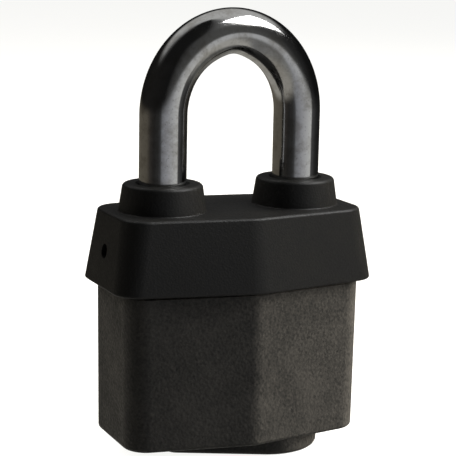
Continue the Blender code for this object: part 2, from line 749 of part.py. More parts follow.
def plate_holes(index):
    holes = [
        circle(side * RIVET_X, end * RIVET_Y, RIVET_RADIUS + GAP, HOLE_STEPS)
        for side in (-1, 1)
        for end in (-1, 1)
    ]
    if index == 0:
        holes.append(circle(COVER_PIVOT, 0, COVER_PIN_RADIUS + GAP, HOLE_STEPS))
    elif index not in BALL_PLATES:
        holes.append(circle(-LEG_X, 0, LEG_HOLE_RADIUS, MEDIUM_STEPS))
    if index < CYLINDER_PLATES:
        holes.append(housing_outline(GAP))
    elif index == TAILPIECE_PLATE:
        holes.append(circle(0, 0, TAILPIECE_HOLE_RADIUS, MEDIUM_STEPS))
        holes.append(circle(LEG_X, 0, RETAINING_SCREW_RADIUS + GAP, HOLE_STEPS))
    elif index < BALL_PLATES[0]:
        holes.append(circle(0, 0, CAM_STEM_RADIUS + GAP, MEDIUM_STEPS))
    if index == SCREW_HEAD_PLATE:
        holes.append(circle(LEG_X, 0, RETAINING_SCREW_HEAD + GAP, MEDIUM_STEPS))
    elif index >= FIRST_TOE_PLATE and index not in BALL_PLATES:
        holes.append(circle(LEG_X, 0, LEG_HOLE_RADIUS, MEDIUM_STEPS))
    if index in BALL_PLATES:
        holes.append(ball_channel_outline())
    return holes


def make_plates():
    for index in range(PLATE_COUNT):
        plate = outline_curve(
            f"plate_{index + 1:02d}",
            [six_sided(PLATE_PLAN, PLATE_CORNER)] + plate_holes(index),
            plate_bottom(index), plate_top(index), PLATE_STEEL,
        )
        if index != BALL_PLATES[1]:
            continue
        for side, name in ((-1, "heel"), (1, "toe")):
            inner = side * (PLATE_PLAN[0] - CAP_SCREW_BITE - GAP)
            outer = side * (PLATE_PLAN[0] + CUT_OVER)
            hole = rod_cutter(
                f"{name}_side_hole_cutter", CAP_SCREW_RADIUS + GAP,
                (inner, 0, SIDE_SCREW_HEIGHT), (outer, 0, SIDE_SCREW_HEIGHT), SMALL_STEPS,
            )
            cut(plate, hole)


def make_rivets():
    low = STACK_BOTTOM - GAP
    dome = low - RIVET_DOME_HEIGHT
    high = plate_top(PLATE_COUNT - 1) - RIVET_HEAD_HEIGHT
    for side, name in ((-1, "heel"), (1, "toe")):
        for end, where in ((-1, "front"), (1, "back")):
            turned(
                f"rivet_{name}_{where}",
                [(0, high), (RIVET_RADIUS, high), (RIVET_RADIUS, low), (RIVET_HEAD, low),
                 (RIVET_HEAD * RIVET_DOME_SHARE, dome), (0, dome)],
                PLATE_STEEL, at=(side * RIVET_X, end * RIVET_Y, 0), steps=HOLE_STEPS,
            )


# ---------------------------------------------------------------- lock cylinder

def pin_height(index):
    return SHELL_BOTTOM + FIRST_PIN + index * PIN_PITCH


def make_shell():
    shell = outline_curve("cylinder_shell", [housing_outline(0)], SHELL_BOTTOM, SHELL_TOP, BRASS)
    low = SHELL_BOTTOM - CUT_OVER
    high = SHELL_TOP + CUT_OVER
    bore = rod_cutter(
        "plug_bore_cutter", PLUG_RADIUS + TURNING_GAP, (0, 0, low), (0, 0, high), FINE_STEPS,
    )
    first = pin_height(0)
    last = pin_height(PIN_COUNT - 1)
    reach = HOUSING_REACH + CUT_OVER
    half = CHAMBER_COVER_HALF_WIDTH + GAP
    slot = box(
        "chamber_cover_cutter",
        (COVER_SEAT, -half, first - PIN_HOLE_RADIUS - GAP),
        (reach, half, last + PIN_HOLE_RADIUS + GAP),
    )
    cut(shell, bore, slot)
    for index in range(PIN_COUNT):
        height = pin_height(index)
        chamber = rod_cutter(
            f"chamber_cutter_{index + 1}", PIN_HOLE_RADIUS,
            (0, 0, height), (reach, 0, height), SMALL_STEPS,
        )
        cut(shell, chamber)
    box(
        "pin_chamber_cover",
        (COVER_SEAT + GAP, -CHAMBER_COVER_HALF_WIDTH, first - PIN_HOLE_RADIUS),
        (COVER_SEAT + GAP + CHAMBER_COVER_HEIGHT, CHAMBER_COVER_HALF_WIDTH, last + PIN_HOLE_RADIUS),
        BRASS, parts,
    )


def make_plug():
    groove_low = SHELL_TOP + GAP
    groove_high = groove_low + CLIP_HEIGHT + GAP
    plug = turned(
        "plug",
        [(0, STUB_TOP), (STUB_RADIUS, STUB_TOP), (STUB_RADIUS, groove_high),
         (CLIP_GROOVE_RADIUS, groove_high), (CLIP_GROOVE_RADIUS, groove_low),
         (STUB_RADIUS, groove_low), (STUB_RADIUS, SHELL_TOP),
         (PLUG_RADIUS, SHELL_TOP), (PLUG_RADIUS, PLUG_BOTTOM), (0, PLUG_BOTTOM)],
        BRASS, steps=FINE_STEPS,
    )
    half = KEYWAY_WIDTH / 2
    keyway = box(
        "keyway_cutter",
        (-half, KEYWAY_BOTTOM, PLUG_BOTTOM - CUT_OVER),
        (half, KEYWAY_TOP, pin_height(PIN_COUNT - 1) + PIN_HOLE_RADIUS),
    )
    slot_half = TAILPIECE_THICKNESS / 2 + GAP
    slot_width = TAILPIECE_WIDTH / 2 + GAP
    slot = box(
        "tailpiece_slot_cutter",
        (-slot_width, -slot_half, STUB_TOP - TAILPIECE_SEAT),
        (slot_width, slot_half, STUB_TOP + CUT_OVER),
    )
    cut(plug, keyway, slot)
    inner = PLUG_RADIUS - GAP / 2 - KEY_PIN_LENGTH - KEY_PIN_TRAVEL - 2 * GAP
    for index in range(PIN_COUNT):
        height = pin_height(index)
        hole = rod_cutter(
            f"plug_hole_cutter_{index + 1}", PIN_HOLE_RADIUS,
            (0, inner, height), (0, PLUG_RADIUS + CUT_OVER, height), SMALL_STEPS,
        )
        cut(plug, hole)
    start = CLIP_OPENING - math.pi / 2
    end = math.pi - start
    clip = arc((0, 0), CLIP_RADIUS, start, end, ROUND_STEPS)
    clip += arc((0, 0), CLIP_GROOVE_RADIUS + GAP / 2, end, start, ROUND_STEPS)
    clip_low = groove_low + GAP / 2
    outline_curve("plug_clip", [clip], clip_low, clip_low + CLIP_HEIGHT, SPRING_STEEL)


def make_pins():
    for index in range(PIN_COUNT):
        height = pin_height(index)
        number = index + 1
        key_pin = turned(
            f"key_pin_{number}",
            [(0, 0), (PIN_RADIUS, 0), (PIN_RADIUS, PIN_POINT - KEY_PIN_LENGTH),
             (PIN_RADIUS * KEY_POINT_SHARE, -KEY_PIN_LENGTH), (0, -KEY_PIN_LENGTH)],
            BRASS, at=(0, PLUG_RADIUS - GAP / 2, height), steps=SMALL_STEPS,
        )
        key_pin.rotation_euler = (-math.pi / 2, 0, 0)
        driver = turned(
            f"driver_pin_{number}",
            [(0, DRIVER_LENGTH), (PIN_RADIUS * DRIVER_HEAD_SHARE, DRIVER_LENGTH),
             (PIN_RADIUS, DRIVER_LENGTH - PIN_POINT / 2), (PIN_RADIUS, PIN_POINT / 4),
             (PIN_RADIUS * DRIVER_FOOT_SHARE, 0), (0, 0)],
            BRASS, at=(DRIVER_INNER, 0, height), steps=SMALL_STEPS,
        )
        driver.rotation_euler = (0, math.pi / 2, 0)
        low = DRIVER_INNER + DRIVER_LENGTH + PIN_SPRING_WIRE + GAP
        high = COVER_SEAT - PIN_SPRING_WIRE
        along = [
            (z, y, height - x)
            for x, y, z in coil(PIN_SPRING_RADIUS, low, high, PIN_SPRING_TURNS, PIN_COIL_STEPS)
        ]
        wire(f"pin_spring_{number}", along, PIN_SPRING_WIRE, SPRING_STEEL)


# ---------------------------------------------------------------- ball lock

def make_ball_lock():
    stem_top = CAM_HEAD_BOTTOM + GAP
    cam = outline_curve("ball_cam", [cam_outline()], CAM_HEAD_BOTTOM, CAM_TOP, ZINC)
    bottom = (0, 0, CAM_STEM_BOTTOM)
    stem = rod_cutter("cam_stem", CAM_STEM_RADIUS, bottom, (0, 0, CHANNEL_BOTTOM), ROUND_STEPS)
    core = rod_cutter("cam_core", CAM_CORE_RADIUS, bottom, (0, 0, stem_top), SMALL_STEPS)
    boolean(cam, "UNION", stem)
    boolean(cam, "UNION", core)
    slot_half = TAILPIECE_THICKNESS / 2 + GAP
    slot_width = TAILPIECE_WIDTH / 2 + GAP
    seat_top = CAM_STEM_BOTTOM + TAILPIECE_TOP_SEAT
    slot = box(
        "cam_slot_cutter",
        (-slot_width, -slot_half, CAM_STEM_BOTTOM - CUT_OVER), (slot_width, slot_half, seat_top),
    )
    cut(cam, slot)
    box(
        "tailpiece",
        (-TAILPIECE_WIDTH / 2, -TAILPIECE_THICKNESS / 2, STUB_TOP - TAILPIECE_SEAT + GAP),
        (TAILPIECE_WIDTH / 2, TAILPIECE_THICKNESS / 2, seat_top - GAP),
        ZINC, parts,
    )
    for name, x in (("toe_ball", OPEN_TOE_BALL), ("heel_ball", -OPEN_HEEL_BALL)):
        lock_ball = ball(name, BALL_RADIUS, (x, 0, BALL_HEIGHT), SPRING_STEEL, parts)
        smooth(lock_ball, BALL_SMOOTH_ANGLE)


# ---------------------------------------------------------------- springs and fasteners

def make_shackle_spring():
    low = plate_top(0) + GAP + SHACKLE_SPRING_WIRE
    high = HEEL_BOTTOM - GAP - SHACKLE_SPRING_WIRE
    points = [
        (x - LEG_X, y, z)
        for x, y, z in coil(SHACKLE_SPRING_RADIUS, low, high, SHACKLE_SPRING_TURNS, COIL_STEPS)
    ]
    wire("shackle_spring", points, SHACKLE_SPRING_WIRE, SPRING_STEEL)


def make_fasteners():
    low = SHELL_TOP + GAP
    shoulder = plate_top(TAILPIECE_PLATE) + GAP
    top = shoulder + RETAINING_SCREW_HEAD_HEIGHT
    screw = turned(
        "cylinder_retaining_screw",
        [(0, top), (RETAINING_SCREW_HEAD, top), (RETAINING_SCREW_HEAD, shoulder),
         (RETAINING_SCREW_RADIUS, shoulder), (RETAINING_SCREW_RADIUS, low), (0, low)],
        SPRING_STEEL, at=(LEG_X, 0, 0), steps=MEDIUM_STEPS,
    )
    socket = rod_cutter(
        "screw_socket_cutter", RETAINING_SCREW_SOCKET,
        (LEG_X, 0, top - RETAINING_SCREW_HEAD_HEIGHT / 2), (LEG_X, 0, top + CUT_OVER),
        SOCKET_SIDES,
    )
    cut(screw, socket)
    for side, name in ((-1, "heel"), (1, "toe")):
        start = PLATE_PLAN[0] + 2 * GAP
        head = start + CAP_SCREW_HEAD_HEIGHT
        tip = PLATE_PLAN[0] - CAP_SCREW_BITE
        side_screw = turned(
            f"cap_screw_{name}",
            [(0, head), (CAP_SCREW_HEAD * SCREW_CROWN_SHARE, head), (CAP_SCREW_HEAD, head - GAP),
             (CAP_SCREW_HEAD, start), (CAP_SCREW_RADIUS, start), (CAP_SCREW_RADIUS, tip), (0, tip)],
            SPRING_STEEL, at=(0, 0, SIDE_SCREW_HEIGHT), steps=SMALL_STEPS,
        )
        side_screw.rotation_euler = (0, side * math.pi / 2, 0)


make_shackle()
make_cap()
make_seals()
make_jacket()
make_dust_cover()
make_plates()
make_rivets()
make_shell()
make_plug()
make_pins()
make_ball_lock()
make_shackle_spring()
make_fasteners()
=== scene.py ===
import json
import math

import bmesh
import bpy
from mathutils import Matrix, Vector


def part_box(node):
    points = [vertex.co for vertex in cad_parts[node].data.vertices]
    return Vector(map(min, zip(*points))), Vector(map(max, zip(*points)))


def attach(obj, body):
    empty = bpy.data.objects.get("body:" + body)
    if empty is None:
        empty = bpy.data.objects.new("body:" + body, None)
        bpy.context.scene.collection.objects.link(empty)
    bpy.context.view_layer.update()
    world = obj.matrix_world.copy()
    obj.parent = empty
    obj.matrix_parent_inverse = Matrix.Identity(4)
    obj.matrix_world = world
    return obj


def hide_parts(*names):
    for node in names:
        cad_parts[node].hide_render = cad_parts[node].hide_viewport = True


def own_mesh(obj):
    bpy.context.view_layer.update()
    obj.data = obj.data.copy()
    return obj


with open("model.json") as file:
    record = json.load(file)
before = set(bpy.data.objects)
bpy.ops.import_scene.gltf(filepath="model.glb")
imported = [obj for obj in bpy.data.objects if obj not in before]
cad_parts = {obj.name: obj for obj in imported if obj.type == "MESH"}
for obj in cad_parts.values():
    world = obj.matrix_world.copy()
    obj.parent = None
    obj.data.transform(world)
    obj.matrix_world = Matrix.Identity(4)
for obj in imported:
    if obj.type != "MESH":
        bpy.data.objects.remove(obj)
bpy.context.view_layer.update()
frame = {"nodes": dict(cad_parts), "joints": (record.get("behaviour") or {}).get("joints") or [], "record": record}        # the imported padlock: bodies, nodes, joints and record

scene = bpy.context.scene
nodes = frame["nodes"]
joints = {joint["name"]: joint for joint in frame["joints"]}
scene.view_settings.view_transform = "Standard"


# small helpers: lengths are in millimetres until mm() turns them into metres

def mm(*values):
    return Vector([value / 1000 for value in values])


def boxOf(node):
    low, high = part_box(node)
    return low * 1000, high * 1000


def smoothShade(mesh, angle):
    mesh.shade_smooth()
    mesh.set_sharp_from_angle(angle=math.radians(angle))


def weighNormals(piece):
    # keeps flat faces flat beside their rounded edges
    step = piece.modifiers.new("flat faces", "WEIGHTED_NORMAL")
    step.keep_sharp = True
    step.weight = 90


def newPiece(name, mesh, material=None):
    piece = bpy.data.objects.new(name, mesh)
    scene.collection.objects.link(piece)
    if material:
        mesh.materials.append(material)
    return piece


def meshFrom(name, bm):
    bmesh.ops.recalc_face_normals(bm, faces=bm.faces)
    mesh = bpy.data.meshes.new(name)
    bm.to_mesh(mesh)
    bm.free()
    return mesh


def ringLoft(name, rings):
    # a skin through rings of points, capped at both ends
    bm = bmesh.new()
    loops = [[bm.verts.new(mm(*point)) for point in ring] for ring in rings]
    for lower, upper in zip(loops, loops[1:]):
        count = len(lower)
        for i in range(count):
            j = (i + 1) % count
            bm.faces.new((lower[i], lower[j], upper[j], upper[i]))
    bm.faces.new(list(reversed(loops[0])))
    bm.faces.new(loops[-1])
    return meshFrom(name, bm)


def turnedMesh(name, profile, centre, steps):
    # turned about Z; the profile is (radius, height) and may begin and end on the axis
    bm = bmesh.new()
    loops = []
    for radius, height in profile:
        if radius < 1e-6:
            loops.append([bm.verts.new(mm(centre[0], centre[1], height))])
            continue
        loops.append([
            bm.verts.new(mm(
                centre[0] + radius * math.cos(2 * math.pi * i / steps),
                centre[1] + radius * math.sin(2 * math.pi * i / steps),
                height,
            ))
            for i in range(steps)
        ])
    for first, second in zip(loops, loops[1:]):
        for i in range(steps):
            j = (i + 1) % steps
            corners = [
                first[i % len(first)], first[j % len(first)],
                second[j % len(second)], second[i % len(second)],
            ]
            unique = list(dict.fromkeys(corners))
            if len(unique) > 2:
                bm.faces.new(unique)
    return meshFrom(name, bm)


def arcPoints(centre, radius, start, end, steps):
    # (x, y) points on an arc, angles in degrees
    return [
        (
            centre[0] + radius * math.cos(math.radians(start + (end - start) * i / steps)),
            centre[1] + radius * math.sin(math.radians(start + (end - start) * i / steps)),
        )
        for i in range(steps + 1)
    ]


def sixSided(plan, rounding, inset, steps):
    # plan is half width, half depth at the ridge and half flank; rounding is for the corners, then the ridges
    halfWidth, halfRidge, halfFlank = plan
    corners = [
        Vector((halfWidth, -halfFlank)), Vector((halfWidth, halfFlank)), Vector((0, halfRidge)),
        Vector((-halfWidth, halfFlank)), Vector((-halfWidth, -halfFlank)), Vector((0, -halfRidge)),
    ]
    points = []
    for i, here in enumerate(corners):
        corner = rounding[i % 3 == 2]
        before = (here - corners[i - 1]).normalized()
        after = (corners[(i + 1) % 6] - here).normalized()
        normalIn = Vector((before.y, -before.x))
        normalOut = Vector((after.y, -after.x))
        towards = (normalIn + normalOut).normalized()
        centre = here - towards * (corner / towards.dot(normalIn))
        start = math.degrees(math.atan2(normalIn.y, normalIn.x))
        turn = math.degrees(normalIn.angle(normalOut))
        points += arcPoints(centre, corner - inset, start, start + turn, steps)
    return points


def quarterTurn(steps):
    # the angles of a rounded edge, from 0 to 90 degrees
    return [math.radians(90 * step / steps) for step in range(steps + 1)]


def atHeight(outline, height):
    return [(x, y, height) for x, y in outline]


def rodMesh(name, radius, start, end, steps=48):
    start, end = Vector(start), Vector(end)
    along = end - start
    bm = bmesh.new()
    bmesh.ops.create_cone(
        bm, cap_ends=True, segments=steps,
        radius1=radius / 1000, radius2=radius / 1000, depth=along.length / 1000,
    )
    turn = along.to_track_quat("Z", "Y").to_matrix().to_4x4()
    shift = Matrix.Translation((start + end) / 2 / 1000)
    bmesh.ops.transform(bm, matrix=shift @ turn, verts=bm.verts)
    return meshFrom(name, bm)


def boxMesh(name, low, high):
    bm = bmesh.new()
    bmesh.ops.create_cube(bm, size=1.0)
    size = [b - a for a, b in zip(low, high)]
    middle = [(a + b) / 2 for a, b in zip(low, high)]
    bmesh.ops.scale(bm, vec=mm(*size), verts=bm.verts)
    bmesh.ops.translate(bm, vec=mm(*middle), verts=bm.verts)
    return meshFrom(name, bm)


def ballMesh(name, radius, centre, across=64, down=32):
    bm = bmesh.new()
    bmesh.ops.create_uvsphere(bm, u_segments=across, v_segments=down, radius=radius / 1000)
    bmesh.ops.translate(bm, vec=mm(*centre), verts=bm.verts)
    return meshFrom(name, bm)


def combine(piece, operation, meshes):
    # joins meshes to the piece or cuts them from it, and keeps the result as its mesh
    helpers = []
    for mesh in meshes:
        helper = newPiece("helper", mesh)
        helpers.append(helper)
        step = piece.modifiers.new(operation, "BOOLEAN")
        step.operation = operation
        step.object = helper
        step.solver = "EXACT"
    bpy.context.view_layer.update()
    graph = bpy.context.evaluated_depsgraph_get()
    made = bpy.data.meshes.new_from_object(piece.evaluated_get(graph))
    piece.modifiers.clear()
    piece.data = made
    for helper in helpers:
        bpy.data.objects.remove(helper, do_unlink=True)


def place(piece, body, slot, *replaced):
    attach(piece, body)
    if replaced:
        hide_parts(*replaced)


# materials: addNode makes every node, and each material says what it is and how it was made

def linearColour(hexColour):
    channels = [int(hexColour[i:i + 2], 16) / 255 for i in (1, 3, 5)]
    linear = [c / 12.92 if c <= 0.04045 else ((c + 0.055) / 1.055) ** 2.4 for c in channels]
    return (*linear, 1.0)


def setInputs(tree, node, inputs):
    for key, value in inputs.items():
        if isinstance(value, bpy.types.NodeSocket):
            tree.links.new(value, node.inputs[key])
        else:
            node.inputs[key].default_value = value


def addNode(tree, kind, settings, inputs, out=0):
    # one node with its settings and links; gives back the output asked for
    node = tree.nodes.new(kind)
    for name, value in settings.items():
        if name != "stops":
            setattr(node, name, value)
            continue
        while len(node.color_ramp.elements) < len(value):
            node.color_ramp.elements.new(0.5)
        for element, (position, colour) in zip(node.color_ramp.elements, value):
            element.position = position
            element.color = linearColour(colour) if isinstance(colour, str) else (colour, colour, colour, 1.0)
    setInputs(tree, node, inputs)
    return node.outputs[out] if len(node.outputs) else node


def startMaterial(name, fixed):
    material = bpy.data.materials.new(name)
    material.use_nodes = True
    tree = material.node_tree
    shader = tree.nodes["Principled BSDF"]
    setInputs(tree, shader, fixed)
    return material, tree, shader


def perMetre(sizeMm):
    return 1000 / sizeMm        # pattern scale that repeats about once in this many millimetres


# chrome plate over drawn, polished steel: a near mirror with faint draw lines along the wire,
# a slow waviness from the buffing wheel, smudged patches and a few pits that sparkle
chromeLook = {
    "colour": "#cfcfce",
    "dullColour": "#b3b1ad",
    "roughness": 0.08,
    "dullRoughness": 0.16,
    "smudgeMm": 3.5,
    "drawLineMm": 0.45,         # real draw lines are finer; this is as fine as shows
    "drawLineStretch": 0.05,
    "pitMm": 0.6,
    "waveMm": 8.0,
}


def makeChrome():
    look = chromeLook
    material, tree, shader = startMaterial("chromePlatedDrawnSteel", {"Metallic": 1.0})
    along = addNode(tree, "ShaderNodeUVMap", {"uv_map": "wire"}, {})
    where = addNode(tree, "ShaderNodeTexCoord", {}, {}, "Object")
    smudge = addNode(tree, "ShaderNodeTexNoise", {}, {
        "Vector": where, "Scale": perMetre(look["smudgeMm"]), "Detail": 5.0, "Roughness": 0.65,
    })
    colour = addNode(tree, "ShaderNodeValToRGB", {
        "stops": [(0.34, look["dullColour"]), (0.56, look["colour"])],
    }, {"Fac": smudge})
    gloss = addNode(tree, "ShaderNodeValToRGB", {
        "stops": [(0.34, look["dullRoughness"]), (0.6, look["roughness"])],
    }, {"Fac": smudge})
    stretched = addNode(tree, "ShaderNodeMapping", {}, {
        "Vector": along, "Scale": (look["drawLineStretch"], 1.0, 1.0),
    })
    lines = addNode(tree, "ShaderNodeTexNoise", {}, {
        "Vector": stretched, "Scale": perMetre(look["drawLineMm"]), "Detail": 3.0, "Roughness": 0.6,
    })
    waves = addNode(tree, "ShaderNodeTexNoise", {}, {
        "Vector": where, "Scale": perMetre(look["waveMm"]), "Detail": 1.0,
    })
    pits = addNode(tree, "ShaderNodeTexVoronoi", {}, {
        "Vector": where, "Scale": perMetre(look["pitMm"]), "Randomness": 1.0,
    })
    pitted = addNode(tree, "ShaderNodeValToRGB", {"stops": [(0.06, 0.0), (0.22, 1.0)]}, {"Fac": pits})
    worn = addNode(tree, "ShaderNodeMix", {"data_type": "RGBA", "blend_type": "MULTIPLY"}, {
        0: 0.3, 6: colour, 7: pitted,
    }, 2)
    normal = addNode(tree, "ShaderNodeBump", {}, {"Height": waves, "Strength": 0.5, "Distance": 0.00012})
    normal = addNode(tree, "ShaderNodeBump", {}, {
        "Height": lines, "Strength": 0.35, "Distance": 0.000014, "Normal": normal,
    })
    normal = addNode(tree, "ShaderNodeBump", {}, {
        "Height": pitted, "Strength": 0.5, "Distance": 0.000012, "Normal": normal,
    })
    setInputs(tree, shader, {"Base Color": worn, "Roughness": gloss, "Normal": normal})
    return material


# the cap: injection-moulded nylon with a spark-eroded satin face, near black, with a fine even
# grain and a soft sheen; the jacket and its cover: thermoplastic with a coarser leathery grain
# that glitters a little where light rakes it
mouldedLooks = {
    "sparkGrainedMouldedNylon": {
        "colour": "#050505",
        "paleColour": "#0d0d0c",
        "specular": 0.5,
        "roughness": 0.5,
        "roughnessSpread": 0.07,
        "grainMm": 0.5,             # the real grain is about half this; it is as fine as shows
        "grainDepth": 0.00005,
        "cloudMm": 12.0,
    },
    "leatherGrainedThermoplastic": {
        "colour": "#181817",
        "paleColour": "#2b2a28",
        "specular": 0.34,
        "roughness": 0.44,
        "roughnessSpread": 0.1,
        "grainMm": 0.7,
        "grainDepth": 0.00011,
        "cloudMm": 9.0,
    },
}


def makeMoulded(name):
    look = mouldedLooks[name]
    material, tree, shader = startMaterial(name, {"IOR": 1.5, "Specular IOR Level": look["specular"]})
    where = addNode(tree, "ShaderNodeTexCoord", {}, {}, "Object")
    cloud = addNode(tree, "ShaderNodeTexNoise", {}, {
        "Vector": where, "Scale": perMetre(look["cloudMm"]), "Detail": 4.0, "Roughness": 0.6,
    })
    speck = addNode(tree, "ShaderNodeTexNoise", {}, {
        "Vector": where, "Scale": perMetre(look["grainMm"]), "Detail": 3.0, "Roughness": 0.7,
    })
    blend = addNode(tree, "ShaderNodeMix", {"data_type": "FLOAT"}, {0: 0.65, 2: cloud, 3: speck})
    colour = addNode(tree, "ShaderNodeValToRGB", {
        "stops": [(0.38, look["colour"]), (0.62, look["paleColour"])],
    }, {"Fac": blend})
    rough = addNode(tree, "ShaderNodeValToRGB", {
        "stops": [
            (0.38, look["roughness"] + look["roughnessSpread"]),
            (0.62, look["roughness"] - look["roughnessSpread"]),
        ],
    }, {"Fac": blend})
    cells = addNode(tree, "ShaderNodeTexVoronoi", {"feature": "SMOOTH_F1"}, {
        "Vector": where, "Scale": perMetre(look["grainMm"]), "Smoothness": 0.5, "Randomness": 1.0,
    })
    normal = addNode(tree, "ShaderNodeBump", {}, {
        "Height": cells, "Strength": 0.6, "Distance": look["grainDepth"],
    })
    normal = addNode(tree, "ShaderNodeBump", {}, {
        "Height": speck, "Strength": 0.5, "Distance": look["grainDepth"] * 0.6, "Normal": normal,
    })
    setInputs(tree, shader, {"Base Color": colour, "Roughness": rough, "Normal": normal})
    return material


# the hidden metals and the seals: dark and pale tone, roughness, size of the mottling,
# and the marks that the making left, as (size, stretch along x, depth in metres)
metalLooks = {
    # zinc-plated stamped steel: cool grey, dull patches, straight mill grain
    "zincPlatedStampedSteel": ("#77797c", "#a6a8a9", 0.42, 5.0, (0.3, 0.08, 0.00002)),
    # hardened spring steel, tumbled: bright grey with short fine scratches
    "tumbledSpringSteel": ("#74767a", "#a3a5a8", 0.27, 2.5, (0.25, 0.5, 0.000012)),
    # pressure die-cast zinc: bluish, matt, slightly orange-peeled
    "pressureCastZinc": ("#696c71", "#92959a", 0.45, 3.0, (0.5, 1.0, 0.00003)),
}


def makeMetal(name):
    dark, pale, roughness, mottleMm, (markMm, stretch, depth) = metalLooks[name]
    material, tree, shader = startMaterial(name, {"Metallic": 1.0})
    where = addNode(tree, "ShaderNodeTexCoord", {}, {}, "Object")
    mottle = addNode(tree, "ShaderNodeTexNoise", {}, {
        "Vector": where, "Scale": perMetre(mottleMm), "Detail": 5.0, "Roughness": 0.6,
    })
    colour = addNode(tree, "ShaderNodeValToRGB", {"stops": [(0.35, dark), (0.62, pale)]}, {"Fac": mottle})
    rough = addNode(tree, "ShaderNodeValToRGB", {
        "stops": [(0.35, roughness + 0.1), (0.65, roughness - 0.07)],
    }, {"Fac": mottle})
    stretched = addNode(tree, "ShaderNodeMapping", {}, {"Vector": where, "Scale": (stretch, 1.0, 1.0)})
    marks = addNode(tree, "ShaderNodeTexNoise", {}, {
        "Vector": stretched, "Scale": perMetre(markMm), "Detail": 2.0,
    })
    normal = addNode(tree, "ShaderNodeBump", {}, {"Height": marks, "Strength": 0.4, "Distance": depth})
    setInputs(tree, shader, {"Base Color": colour, "Roughness": rough, "Normal": normal})
    return material


# turned brass: warm yellow with fine rings from the lathe, browner where it has tarnished
brassLook = {
    "colour": "#c8a55c",
    "tarnish": "#8a6a33",
    "roughness": 0.26,
    "tarnishRoughness": 0.42,
    "tarnishMm": 4.0,
    "ringMm": 0.3,
}


def makeBrass():
    look = brassLook
    material, tree, shader = startMaterial("latheTurnedBrass", {"Metallic": 1.0})
    where = addNode(tree, "ShaderNodeTexCoord", {}, {}, "Object")
    mottle = addNode(tree, "ShaderNodeTexNoise", {}, {
        "Vector": where, "Scale": perMetre(look["tarnishMm"]), "Detail": 5.0, "Roughness": 0.65,
    })
    colour = addNode(tree, "ShaderNodeValToRGB", {
        "stops": [(0.36, look["tarnish"]), (0.6, look["colour"])],
    }, {"Fac": mottle})
    rough = addNode(tree, "ShaderNodeValToRGB", {
        "stops": [(0.36, look["tarnishRoughness"]), (0.62, look["roughness"])],
    }, {"Fac": mottle})
    rings = addNode(tree, "ShaderNodeTexWave", {"wave_type": "RINGS", "rings_direction": "Z"}, {
        "Vector": where, "Scale": math.pi / 10 * perMetre(look["ringMm"]) / math.tau, "Distortion": 0.4,
    }, "Fac")
    normal = addNode(tree, "ShaderNodeBump", {}, {"Height": rings, "Strength": 0.35, "Distance": 0.00001})
    setInputs(tree, shader, {"Base Color": colour, "Roughness": rough, "Normal": normal})
    return material


# moulded seal rubber: dull black with a greyish bloom
rubberLook = {
    "colour": "#0e0e0e",
    "bloom": "#201f1e",
    "bloomMm": 3.0,
    "grainMm": 0.3,
}


def makeRubber():
    look = rubberLook
    material, tree, shader = startMaterial("mouldedSealRubber", {"IOR": 1.52})
    where = addNode(tree, "ShaderNodeTexCoord", {}, {}, "Object")
    bloom = addNode(tree, "ShaderNodeTexNoise", {}, {
        "Vector": where, "Scale": perMetre(look["bloomMm"]), "Detail": 5.0, "Roughness": 0.6,
    })
    colour = addNode(tree, "ShaderNodeValToRGB", {
        "stops": [(0.35, look["colour"]), (0.65, look["bloom"])],
    }, {"Fac": bloom})
    rough = addNode(tree, "ShaderNodeValToRGB", {"stops": [(0.35, 0.7), (0.65, 0.9)]}, {"Fac": bloom})
    grain = addNode(tree, "ShaderNodeTexNoise", {}, {
        "Vector": where, "Scale": perMetre(look["grainMm"]), "Detail": 2.0,
    })
    normal = addNode(tree, "ShaderNodeBump", {}, {"Height": grain, "Strength": 0.4, "Distance": 0.00003})
    setInputs(tree, shader, {"Base Color": colour, "Roughness": rough, "Normal": normal})
    return material


chrome = makeChrome()
capPlastic, jacketPlastic = [makeMoulded(name) for name in mouldedLooks]
stampedSteel, springSteel, castZinc = [makeMetal(name) for name in metalLooks]
brass = makeBrass()
sealRubber = makeRubber()
print("materials made")

slotMaterials = {
    "chrome": chrome,
    "cap_plastic": capPlastic,
    "jacket_plastic": jacketPlastic,
    "plate_steel": stampedSteel,
    "brass": brass,
    "spring_steel": springSteel,
    "seal_rubber": sealRubber,
    "zinc": castZinc,
}
for entry in frame["record"]["subparts"]:
    slots = nodes[entry["node"]].data.materials
    slots.clear()
    slots.append(slotMaterials[entry["material_slot"]])
    nodes[entry["node"]].data.shade_smooth()
    nodes[entry["node"]].data.set_sharp_from_angle(angle=math.radians(25))

# camera

cameraView = {
    "yaw": 24.61,
    "pitch": 10.922,
    "roll": 1.129,
    "distanceMm": 373.0,
    "targetMm": (-0.27, 0.0, 53.55),
    "lensMm": 124.1,
}


def makeCamera():
    yaw, pitch, roll = (math.radians(cameraView[key]) for key in ("yaw", "pitch", "roll"))
    back = Vector((-math.sin(yaw) * math.cos(pitch), -math.cos(yaw) * math.cos(pitch), math.sin(pitch)))
    right = Vector((math.cos(yaw), -math.sin(yaw), 0))
    up = back.cross(right)
    across = right * math.cos(roll) + up * math.sin(roll)
    upright = up * math.cos(roll) - right * math.sin(roll)
    data = bpy.data.cameras.new("camera")
    data.lens = cameraView["lensMm"]
    data.clip_start = 0.01
    camera = bpy.data.objects.new("camera", data)
    scene.collection.objects.link(camera)
    turn = Matrix((across, upright, back)).transposed().to_4x4()
    eye = mm(*cameraView["targetMm"]) + back * (cameraView["distanceMm"] / 1000)
    camera.matrix_world = Matrix.Translation(eye) @ turn
    scene.camera = camera


makeCamera()

# shackle: a round wire bent to a tall bow, with a turned neck on the heel leg
# and one ball notch in each leg

